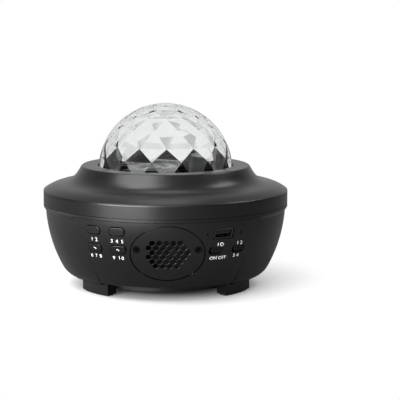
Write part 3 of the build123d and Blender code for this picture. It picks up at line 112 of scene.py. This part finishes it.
def noise(tree, place, scale, detail):
    """Soft random pattern."""
    inputs = {"Vector": place, "Scale": scale, "Detail": detail}
    return add_node(tree, "TexNoise", inputs).outputs["Fac"]


def relief(tree, height, strength, depth):
    """Surface relief of a depth in millimetres, drawn by a pattern."""
    inputs = {"Strength": strength, "Distance": mm(depth), "Height": height}
    return add_node(tree, "Bump", inputs).outputs["Normal"]


def start_material(name):
    """An empty material, its node tree and its place on the object."""
    material = bpy.data.materials.new(name)
    material.use_nodes = True
    tree = material.node_tree
    tree.nodes.clear()
    return material, tree, add_node(tree, "TexCoord").outputs["Object"]


def close_material(tree, **sockets):
    """The surface shader, with its sockets, into the output."""
    inputs = {key.replace("_", " "): value for key, value in sockets.items()}
    shader = add_node(tree, "BsdfPrincipled", inputs)
    add_node(tree, "OutputMaterial", {"Surface": shader.outputs["BSDF"]})


def moulded_abs(name, colour, worn, roughness, grain, sheen=0.5):
    """ABS from a spark-eroded mould: satin, with a fine even grain that spreads
    each highlight, and faint flow marks where the gloss drifts a little."""
    material, tree, place = start_material(name)
    texture = noise(tree, place, per(grain), 2.0)
    flow = noise(tree, place, per(flow_mark), 2.0)
    close_material(
        tree,
        Base_Color=blend(tree, flow, linear(colour), linear(worn)),
        Roughness=ranged(tree, flow, roughness - 0.05, roughness + 0.05),
        IOR=1.5,
        Specular_IOR_Level=sheen,
        Normal=relief(tree, texture, 0.25, 0.03),
    )
    return material


def clear_plastic(name, colour, roughness, index, smear):
    """Polished clear plastic: glass-like, with a trace of moulding haze."""
    material, tree, place = start_material(name)
    close_material(
        tree,
        Base_Color=linear(colour),
        Roughness=ranged(tree, noise(tree, place, per(smear), 3.0), 0.0, roughness),
        IOR=index,
        Transmission_Weight=1.0,
    )
    return material


def worked_metal(name, colour, dull, roughness, grain, stretch):
    """Bare or plated metal: its grain is drawn out one way by rolling, turning
    or extruding, so the gloss changes in fine lines."""
    material, tree, place = start_material(name)
    lines = add_node(tree, "Mapping", {"Vector": place, "Scale": stretch})
    texture = noise(tree, lines.outputs["Vector"], per(grain), 3.0)
    close_material(
        tree,
        Base_Color=blend(tree, texture, linear(colour), linear(dull)),
        Metallic=1.0,
        Roughness=ranged(tree, texture, roughness - 0.08, roughness + 0.08),
        Normal=relief(tree, texture, 0.2, 0.02),
    )
    return material


def circuit_laminate(name, mask, copper, roughness, track):
    """Glass-epoxy board under solder mask: tracks show as a lighter pattern."""
    material, tree, place = start_material(name)
    tracks = add_node(
        tree,
        "TexBrick",
        {
            "Vector": place,
            "Scale": per(track),
            "Color1": linear(mask),
            "Color2": linear(mask),
            "Mortar": linear(copper),
            "Mortar Size": 0.06,
        },
    )
    close_material(
        tree,
        Base_Color=tracks.outputs["Color"],
        Roughness=roughness,
        Normal=relief(tree, noise(tree, place, per(glass_weave), 2.0), 0.2, 0.03),
    )
    return material


def matt_solid(name, colour, shade, roughness, grain, depth):
    """Rubber, paper pulp or ferrite: no gloss, with a grain that is felt."""
    material, tree, place = start_material(name)
    texture = noise(tree, place, per(grain), 4.0)
    close_material(
        tree,
        Base_Color=blend(tree, texture, linear(colour), linear(shade)),
        Roughness=roughness,
        Normal=relief(tree, texture, 0.4, depth),
    )
    return material


flow_mark = 38              # millimetres across a flow mark in moulded plastic
glass_weave = 0.6           # millimetres across a thread in a circuit board

# The grain of the mould is about 0.15 mm on the real case; it is drawn at
# 0.5 mm, so that it still shows as a slight roughness of the highlights.
case_abs = moulded_abs("abs_moulded_satin_black", "#0f0f10", "#121213", 0.30, 0.5)
cap_abs = moulded_abs("abs_moulded_button_black", "#0e0e0f", "#111112", 0.28, 0.5)
# the parts inside the dome get little gloss, a painted shade that keeps them dark as seen
# through it
deck_abs = moulded_abs("abs_moulded_inner_black", "#090909", "#0c0c0c", 0.5, 0.6, 0.12)
gear_pom = moulded_abs("acetal_moulded_black", "#0b0b0b", "#0f0f0f", 0.4, 0.8, 0.15)
white_nylon = moulded_abs("nylon_moulded_white", "#dddddb", "#d2d3d1", 0.38, 0.8)
dark_pom = moulded_abs("acetal_moulded_grey", "#77797b", "#6d6f71", 0.34, 0.8)
socket_pbt = moulded_abs("polyester_moulded_black", "#0e0e0f", "#131314", 0.3, 0.8)
tongue_pbt = moulded_abs("polyester_moulded_tongue", "#101011", "#161617", 0.35, 0.8)
print_ink = matt_solid("pad_print_ink_white", "#ececec", "#e2e2e2", 0.55, 0.4, 0.01)
dome_styrene = clear_plastic("polystyrene_polished_clear", "#fdfefe", 0.03, 1.59, 9.0)
lens_acrylic = clear_plastic("acrylic_moulded_clear", "#f8fbfd", 0.08, 1.49, 6.0)
# the clear wave lens is tinted grey, a painted shade that darkens the middle of the dome
lens_painted_shade = clear_plastic("acrylic_moulded_clear_painted_shade", "#5d5f62", 0.25, 1.49, 6.0)
gasket_silicone = matt_solid("silicone_moulded_clear", "#c9cbc9", "#bfc1bf", 0.5, 0.9, 0.02)
pad_rubber = matt_solid("rubber_moulded_black", "#151515", "#1d1d1d", 0.85, 0.7, 0.05)
cone_paper = matt_solid("paper_pulp_pressed_black", "#0c0c0c", "#131313", 0.9, 0.8, 0.08)
black_screw = worked_metal("steel_black_oxide", "#2a2a2b", "#1f1f20", 0.45, 0.6, (1, 1, 6))
magnet_ferrite = matt_solid("ferrite_sintered_grey", "#2f3032", "#26272a", 0.7, 0.5, 0.05)
screw_steel = worked_metal("steel_zinc_plated", "#b9bcbf", "#9ea2a6", 0.32, 0.6, (1, 1, 6))
# the nickel is given a dark colour, a painted shade that dims the USB port's shell
nickel_painted_shade = worked_metal("steel_nickel_plated_painted_shade", "#6b6967", "#94928e", 0.28, 0.8, (1, 1, 5))
case_coat = matt_solid("steel_pressed_painted_black", "#121213", "#19191a", 0.6, 0.9, 0.02)
sink_aluminium = worked_metal("aluminium_extruded", "#c6c9cc", "#b1b4b8", 0.36, 0.5, (1, 1, 0.1))
laser_brass = worked_metal("brass_turned", "#c9a560", "#b08c48", 0.28, 0.4, (1, 1, 8))
board_green = circuit_laminate("glass_epoxy_green_mask", "#14402a", "#1d5638", 0.4, 3.2)
board_black = circuit_laminate("aluminium_board_black_mask", "#101112", "#1b1c1d", 0.4, 4.0)
emitter_resin = clear_plastic("silicone_phosphor_lens", "#f2d98a", 0.2, 1.41, 2.0)

finishes = {
    case_abs: ("upper_cover", "lower_housing", "front_panel", "speaker_cover", "base_plate"),
    cap_abs: (
        "upper_left_button",
        "upper_right_button",
        "lower_left_button",
        "lower_right_button",
        "power_switch_knob",
        "source_switch_knob",
    ),
    deck_abs: ("optics_deck", "main_board_components"),
    gear_pom: ("wave_rotor",),
    white_nylon: ("tact_switches",),
    dark_pom: ("drive_pinion", "grating_gear"),
    socket_pbt: ("power_jack",),
    tongue_pbt: ("usb_port_tongue",),
    dome_styrene: ("faceted_dome",),
    lens_acrylic: ("condenser_lens", "star_grating"),
    lens_painted_shade: ("wave_lens",),
    gasket_silicone: ("dome_gasket",),
    pad_rubber: ("foot_pads",),
    cone_paper: ("speaker_cone",),
    magnet_ferrite: ("speaker_magnet",),
    screw_steel: (
        "case_screws",
        "base_screws",
        "deck_screws",
        "speaker_screws",
        "board_screws",
        "main_board_screws",
        "heat_sink_screws",
        "drive_motor",
    ),
    black_screw: ("speaker_cover_screws",),
    nickel_painted_shade: ("usb_port_shell", "power_jack_pin", "slide_switch_bodies"),
    case_coat: ("speaker_basket",),
    sink_aluminium: ("heat_sink",),
    laser_brass: ("laser_module", "motor_gearbox"),
    board_green: ("button_board", "control_board", "main_board"),
    board_black: ("led_board",),
    emitter_resin: ("led_emitters",),
}
for material, names in finishes.items():
    for name in names:
        nodes[name].data.materials[0] = material


# ------------------------------------------------------------ modelling helpers
def only(piece):
    """Selects one object alone and makes it active."""
    bpy.ops.object.select_all(action="DESELECT")
    piece.select_set(True)
    bpy.context.view_layer.objects.active = piece


def apply_modifier(piece, kind, **settings):
    """Adds a modifier with its settings and applies it."""
    modifier = piece.modifiers.new(kind, kind)
    for key, value in settings.items():
        setattr(modifier, key, value)
    only(piece)
    bpy.ops.object.modifier_apply(modifier=modifier.name)


def settle(piece):
    """Puts the object's place, turn and size into its mesh."""
    only(piece)
    bpy.ops.object.transform_apply(location=True, rotation=True, scale=True)


def hand_over(piece, material, body):
    """Gives a finished piece its finish, in a single material slot, and its body."""
    piece.data.materials.clear()
    piece.data.materials.append(material)
    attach(piece, body)


def copy_of(name, node):
    """A free copy of a CAD node, with the node's place in its mesh."""
    only(nodes[node])
    bpy.ops.object.duplicate()
    bpy.ops.object.parent_clear(type="CLEAR_KEEP_TRANSFORM")
    piece = bpy.context.object
    piece.name = name
    settle(piece)
    return piece


# ------------------------------------------------------------------------ dome
# The tips of the lowest diamonds lie a little lower than in the solid part.
dome_centre = Vector((0, 0, mm(77.74)))
dome_radius = mm(45.37)     # smooth outer face
facet_radius = mm(44.1)     # sphere that the facets' corners lie on
tip_latitude = math.radians(26.45)
low_tip_latitude = math.radians(24.4)
latitude_play = 0.01
radius_play = mm(0.05)
outer_play = mm(0.02)

cut_dome = copy_of("cut_dome", "faceted_dome")
bpy.ops.mesh.customdata_custom_splitnormals_clear()
for corner in cut_dome.data.vertices:
    reach = corner.co - dome_centre
    latitude = math.asin(max(-1.0, min(1.0, reach.z / reach.length)))
    on_facets = abs(reach.length - facet_radius) < radius_play
    if on_facets and abs(latitude - tip_latitude) < latitude_play:
        outward = Vector((reach.x, reach.y, 0)).normalized()
        level = outward * facet_radius * math.cos(low_tip_latitude)
        rise = Vector((0, 0, facet_radius * math.sin(low_tip_latitude)))
        corner.co = dome_centre + level + rise
for face in cut_dome.data.polygons:
    places = [cut_dome.data.vertices[index].co - dome_centre for index in face.vertices]
    face.use_smooth = all(abs(place.length - dome_radius) < outer_play for place in places)
hand_over(cut_dome, dome_styrene, "case")
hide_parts("faceted_dome")

# --------------------------------------------------------------------- buttons
# Each cap stands a little freer in its opening than the solid one does.
cap_narrowing = Matrix.Diagonal((0.954, 0.907, 1, 1))
cap_turn = math.radians(-29.2)      # the way that the caps face, round the axis
cap_lean = math.radians(-10.4)      # and below level
cap_across = Vector((math.cos(cap_turn), math.sin(cap_turn), 0))
cap_out = Vector(
    (
        math.cos(cap_lean) * math.sin(cap_turn),
        -math.cos(cap_lean) * math.cos(cap_turn),
        math.sin(cap_lean),
    )
)
cap_frame = Matrix((cap_across, cap_out.cross(cap_across), cap_out)).transposed().to_4x4()
caps = {}
for corner_name in ("upper_left", "upper_right", "lower_left", "lower_right"):
    node = corner_name + "_button"
    piece = copy_of(corner_name + "_cap", node)
    middle = sum((Vector(corner) for corner in piece.bound_box), Vector()) / 8
    place = Matrix.Translation(middle) @ cap_frame
    piece.data.transform(place @ cap_narrowing @ place.inverted())
    hand_over(piece, cap_abs, node)
    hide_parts(node)
    caps[node] = piece


# ---------------------------------------------------------------- printed marks
print_lift = mm(0.04)       # thickness of the pad-printed ink
cast_start = mm(120)        # outside the case, where a mark is aimed from
mark_start = mm(2)          # in front of the face, where a mark is laid from
letter_height = mm(2.35)
letter_weight = mm(0.07)
capital_share = 0.7         # height of a capital as a share of the text size
dash_length = mm(2.1)
dash_width = mm(0.6)
dash_slant = math.radians(-24)


def spot_on(node, azimuth, height):
    """Place on a front part at an azimuth and height, with X right and Z out."""
    turn = math.radians(azimuth)
    away = Vector((math.sin(turn), -math.cos(turn), 0))
    start = away * cast_start + Vector((0, 0, mm(height)))
    _, place, normal, _ = caps.get(node, nodes[node]).ray_cast(start, -away)
    across = Vector((0, 0, 1)).cross(normal).normalized()
    up = normal.cross(across)
    matrix = Matrix((across, up, normal)).transposed().to_4x4()
    matrix.translation = place + normal * mark_start
    return matrix


def lay_on(piece, node, matrix):
    """Lays a flat outline on a part's curved face and gives it its thickness."""
    piece.matrix_world = matrix
    apply_modifier(
        piece,
        "SHRINKWRAP",
        target=caps.get(node, nodes[node]),
        wrap_method="PROJECT",
        use_project_z=True,
        use_positive_direction=False,
        use_negative_direction=True,
        wrap_mode="ABOVE_SURFACE",
        offset=print_lift,
    )
    apply_modifier(piece, "SOLIDIFY", thickness=print_lift, offset=-1.0)
    settle(piece)


def printed_words(name, words, node, azimuth, height, spread):
    """One line of printed figures or letters on a front part."""
    bpy.ops.object.select_all(action="DESELECT")
    bpy.ops.object.text_add()
    piece = bpy.context.object
    piece.name = name
    piece.data.body = words
    piece.data.size = letter_height / capital_share
    piece.data.space_character = spread
    piece.data.align_x = "CENTER"
    piece.data.align_y = "CENTER"
    piece.data.offset = letter_weight
    piece.data.resolution_u = 3
    only(piece)
    bpy.ops.object.convert(target="MESH")
    piece = bpy.context.object
    lay_on(piece, node, spot_on(node, azimuth, height))
    hand_over(piece, print_ink, "case")


legends = (
    # name, figures, azimuth and height on the panel, spread of the characters
    ("upper_left_legend", "1 2", -35.0, 41.6, 1.2),
    ("upper_right_legend", "3 4 5", -23.2, 41.5, 1.3),
    ("lower_left_legend", "6 7 8", -35.4, 30.4, 1.25),
    ("lower_right_legend", "9 10", -23.5, 30.2, 1.35),
    ("power_upper_legend", "I O", 24.8, 39.1, 1.0),
    ("power_lower_legend", "ON OFF", 24.3, 30.1, 0.95),
    ("source_upper_legend", "1 2", 35.0, 39.0, 1.1),
    ("source_lower_legend", "3 4", 34.1, 30.7, 1.1),
)
for name, words, azimuth, height, spread in legends:
    printed_words(name, words, "front_panel", azimuth, height, spread)


def printed_dash(name, node, azimuth, height):
    """A short slanted dash printed on a button, which moves with it."""
    bpy.ops.object.select_all(action="DESELECT")
    bpy.ops.mesh.primitive_grid_add(x_subdivisions=6, y_subdivisions=2, size=1)
    piece = bpy.context.object
    piece.name = name
    piece.data.transform(Matrix.Diagonal((dash_length, dash_width, 1, 1)))
    lay_on(piece, node, spot_on(node, azimuth, height) @ Matrix.Rotation(dash_slant, 4, "Z"))
    hand_over(piece, print_ink, node)


printed_dash("lower_left_mark", "lower_left_button", -34.9, 36.0)
printed_dash("lower_right_mark", "lower_right_button", -23.0, 35.9)

# ----------------------------------------------------------------- screw heads
cross_turn = 0.6            # radians, the same in every head
head_bevel = mm(0.12)


def head_face(screw):
    """Middle and outward normal of the flat face of one screw's head."""
    areas = {}
    for face in screw.data.polygons:
        way = tuple(round(part, 2) for part in face.normal)
        total, middle = areas.get(way, (0.0, Vector()))
        areas[way] = (total + face.area, middle + face.center * face.area)
    way, (total, middle) = max(areas.items(), key=lambda entry: entry[1][0])
    return middle / total, Vector(way).normalized()


def cross_heads(name, node, material, arm, width, depth):
    """Copies a node's screws and cuts a cross recess into each head."""
    copy_of(name, node)
    bpy.ops.object.mode_set(mode="EDIT")
    bpy.ops.mesh.select_all(action="SELECT")
    bpy.ops.mesh.separate(type="LOOSE")
    bpy.ops.object.mode_set(mode="OBJECT")
    screws = list(bpy.context.selected_objects)
    for screw in screws:
        middle, out = head_face(screw)
        for turn in (cross_turn, cross_turn + math.pi / 2):
            bpy.ops.object.select_all(action="DESELECT")
            bpy.ops.mesh.primitive_cube_add(size=1)
            cutter = bpy.context.object
            cutter.data.transform(Matrix.Diagonal((arm, width, 2 * depth, 1)))
            cutter.matrix_world = (
                Matrix.Translation(middle)
                @ out.to_track_quat("Z", "Y").to_matrix().to_4x4()
                @ Matrix.Rotation(turn, 4, "Z")
            )
            apply_modifier(
                screw, "BOOLEAN", operation="DIFFERENCE", object=cutter, solver="EXACT"
            )
            bpy.data.objects.remove(cutter)
        apply_modifier(screw, "BEVEL", width=head_bevel, segments=2, limit_method="ANGLE")
    bpy.ops.object.select_all(action="DESELECT")
    for screw in screws:
        screw.select_set(True)
    bpy.context.view_layer.objects.active = screws[0]
    bpy.ops.object.join()
    piece = bpy.context.object
    hand_over(piece, material, "case")
    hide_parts(node)


cross_heads("base_screw_heads", "base_screws", screw_steel, mm(2.6), mm(0.6), mm(0.9))
cross_heads(
    "cover_screw_heads", "speaker_cover_screws", black_screw, mm(2.2), mm(0.5), mm(0.8)
)

# ----------------------------------------------------------------------- floor
white = (1.0, 1.0, 1.0, 1.0)
floor_radius = 4.0
floor_drop = mm(0.1)        # keeps the paper clear of the feet
shadow_radius = mm(30)      # inside this the floor shows its shadow in full
white_radius = mm(150)      # outside this it is plain white
painted_shadow_inner_radius = mm(28)     # inside this the paper's colour is darkest, a painted shadow under the base
painted_shadow_outer_radius = mm(64)        # outside this the painted shadow ends
# share of the paper's colour that is left where the painted shadow is darkest
painted_shadow_share = 0.06
floor_return = 0.18         # share of the light that the paper throws back

bpy.ops.object.select_all(action="DESELECT")
bpy.ops.mesh.primitive_circle_add(vertices=64, radius=floor_radius, fill_type="NGON")
studio_floor = bpy.context.object
studio_floor.location.z = -floor_drop
studio_floor.name = "studio_floor"
floor_paper, floor_tree, floor_place = start_material("paper_seamless_white")
floor_rays = add_node(floor_tree, "LightPath").outputs
floor_fibre = add_node(floor_tree, "TexNoise", {"Vector": floor_place, "Scale": per(3)})
floor_tint = blend(floor_tree, floor_fibre.outputs["Fac"], linear("#f4f4f4"), linear("#f0f0f0"))
# the paper throws back less light than it shows, so that the case stays dark
floor_bounce = blend(
    floor_tree, floor_rays["Is Camera Ray"], (*[floor_return] * 3, 1.0), floor_tint
)
# the paper's colour is darkened towards the middle: a painted shadow under the base, on top of
# the shadow that the lamps cast
floor_reach = add_node(floor_tree, "VectorMath", {0: floor_place}, operation="LENGTH")
floor_painted_shadow = ranged(
    floor_tree, floor_reach.outputs["Value"], painted_shadow_share, 1.0, painted_shadow_inner_radius, painted_shadow_outer_radius
)
floor_shade = add_node(
    floor_tree, "VectorMath", {0: floor_bounce, "Scale": floor_painted_shadow}, operation="SCALE"
)
floor_diffuse = add_node(floor_tree, "BsdfDiffuse", {"Color": floor_shade.outputs["Vector"]})
# away from the object the floor runs out to plain white, for the camera and
# in what the dome shows of it
floor_seen = reckon(
    floor_tree, "MAXIMUM", floor_rays["Is Camera Ray"], floor_rays["Is Transmission Ray"]
)
floor_fade = ranged(
    floor_tree,
    floor_reach.outputs["Value"],
    0.0,
    1.0,
    shadow_radius,
    white_radius,
    interpolation_type="SMOOTHSTEP",
)
floor_glow = add_node(floor_tree, "Emission", {"Color": white, "Strength": 1.0})
floor_mix = add_node(
    floor_tree,
    "MixShader",
    {
        0: reckon(floor_tree, "MULTIPLY", floor_seen, floor_fade),
        1: floor_diffuse.outputs["BSDF"],
        2: floor_glow.outputs["Emission"],
    },
)
# seen from below the paper is left away, so that the base can be looked at
floor_cut = add_node(
    floor_tree,
    "MixShader",
    {
        0: add_node(floor_tree, "NewGeometry").outputs["Backfacing"],
        1: floor_mix.outputs["Shader"],
        2: add_node(floor_tree, "BsdfTransparent").outputs["BSDF"],
    },
)
add_node(floor_tree, "OutputMaterial", {"Surface": floor_cut.outputs["Shader"]})
studio_floor.data.materials.append(floor_paper)

# ----------------------------------------------------------------------- world
far_wall = 0.63             # strength of the light from the far wall
ceiling = 0.27              # and, weaker, from the ceiling

world = bpy.data.worlds.new("studio")
bpy.context.scene.world = world
world.use_nodes = True
sky = world.node_tree
sky.nodes.clear()
sky_rays = add_node(sky, "LightPath").outputs
sky_toward = add_node(sky, "TexCoord").outputs["Generated"]
sky_way = add_node(sky, "SeparateXYZ", {"Vector": sky_toward}).outputs


def sky_lobe(axis, strength):
    """Light that falls away from one direction as its cosine squared."""
    facing = reckon(sky, "MAXIMUM", sky_way[axis], 0.0)
    return reckon(sky, "MULTIPLY", reckon(sky, "POWER", facing, 2.0), strength)


sky_depth = reckon(sky, "ADD", sky_lobe("Y", far_wall), sky_lobe("Z", ceiling))
# the dome's facets pick up the unevenness of the paper round the object
sky_through = ranged(sky, noise(sky, sky_toward, 4.0, 1.0), 0.5, 1.0, 0.36, 0.56)
# which doesn't light the dark parts inside the dome
sky_direct = reckon(sky, "SUBTRACT", 1.0, sky_rays["Diffuse Depth"], use_clamp=True)
sky_clear = reckon(sky, "MULTIPLY", sky_rays["Is Transmission Ray"], sky_direct)
sky_glass = reckon(sky, "MULTIPLY", sky_clear, sky_through)
sky_seen = reckon(sky, "MAXIMUM", sky_rays["Is Camera Ray"], sky_glass)
sky_level = reckon(sky, "MAXIMUM", sky_seen, sky_depth)
sky_light = add_node(sky, "Background", {"Color": white, "Strength": sky_level})
add_node(sky, "OutputWorld", {"Surface": sky_light.outputs["Background"]})

# ----------------------------------------------------------------------- lamps
lamp_distance = 1.3
lamp_aim = Vector((0, 0, mm(60)))


def flag(name, *pieces):
    """A flag that keeps a lamp's light off some pieces."""
    held_off = bpy.data.collections.new(name)
    for piece in pieces:
        held_off.objects.link(piece)
    for member in held_off.collection_objects:
        member.light_linking.link_state = "EXCLUDE"
    return held_off


# the clear parts are flagged off from the softboxes, whose shapes would
# otherwise stand in every facet
dome_flag = flag("dome_flag", cut_dome, nodes["wave_lens"])
# the low lamps at the back and the left would glare along the brim
brim_flag = flag("brim_flag", cut_dome, nodes["wave_lens"], nodes["upper_cover"])


def softbox(name, azimuth, elevation, width, height, power, held_off=dome_flag):
    """A rectangular lamp that faces the object."""
    turn = math.radians(azimuth)
    rise = math.radians(elevation)
    away = Vector(
        (math.sin(turn) * math.cos(rise), -math.cos(turn) * math.cos(rise), math.sin(rise))
    )
    lamp = bpy.data.lights.new(name, "AREA")
    lamp.shape = "RECTANGLE"
    lamp.size = width
    lamp.size_y = height
    lamp.energy = power
    holder = bpy.data.objects.new(name, lamp)
    bpy.context.scene.collection.objects.link(holder)
    holder.location = away * lamp_distance + lamp_aim
    holder.rotation_mode = "QUATERNION"
    holder.rotation_quaternion = away.to_track_quat("Z", "Y")
    holder.visible_transmission = False
    holder.light_linking.receiver_collection = held_off


softbox("low_left_softbox", -37, 9, 1.1, 0.5, 31)
softbox("high_left_softbox", -48, 50, 1.1, 0.5, 9.2)
softbox("top_left_softbox", -62, 70, 0.8, 0.4, 5.7)
softbox("front_softbox", 0, 30, 0.8, 0.6, 3.6)
softbox("right_softbox", 78, 32, 0.8, 0.8, 0.8)
softbox("left_softbox", -112, 10, 0.9, 0.8, 11, brim_flag)
softbox("back_right_softbox", 110, 50, 0.4, 0.4, 2.2)
softbox("back_top_softbox", 180, 67, 0.4, 0.5, 1.0)
softbox("back_softbox", 165, 16, 1.2, 0.7, 12, brim_flag)

# ----------------------------------------------------------------------- camera
camera_distance = 1.0       # from the object's axis, level
camera_height = mm(202.8)
camera_azimuth = -1.0
camera_pitch = 8.29         # degrees below level
focal_pixels = 1484.2
image_pixels = 400
axis_pixel = 165.5          # column that the object's axis falls on

camera_data = bpy.data.cameras.new("camera")
camera = bpy.data.objects.new("camera", camera_data)
bpy.context.scene.collection.objects.link(camera)
camera_data.lens = focal_pixels / image_pixels * camera_data.sensor_width
camera_data.shift_x = (image_pixels / 2 - axis_pixel) / image_pixels
camera_turn = math.radians(camera_azimuth)
camera.location = (
    camera_distance * math.sin(camera_turn),
    -camera_distance * math.cos(camera_turn),
    camera_height,
)
camera.rotation_euler = (math.radians(90 - camera_pitch), 0, camera_turn)
bpy.context.scene.camera = camera
bpy.context.scene.view_settings.view_transform = "Standard"
# light turns back many times between the dome's faces before it leaves
dome_bounces = 24
for limit in ("max_bounces", "glossy_bounces", "transmission_bounces"):
    setattr(bpy.context.scene.cycles, limit, dome_bounces)
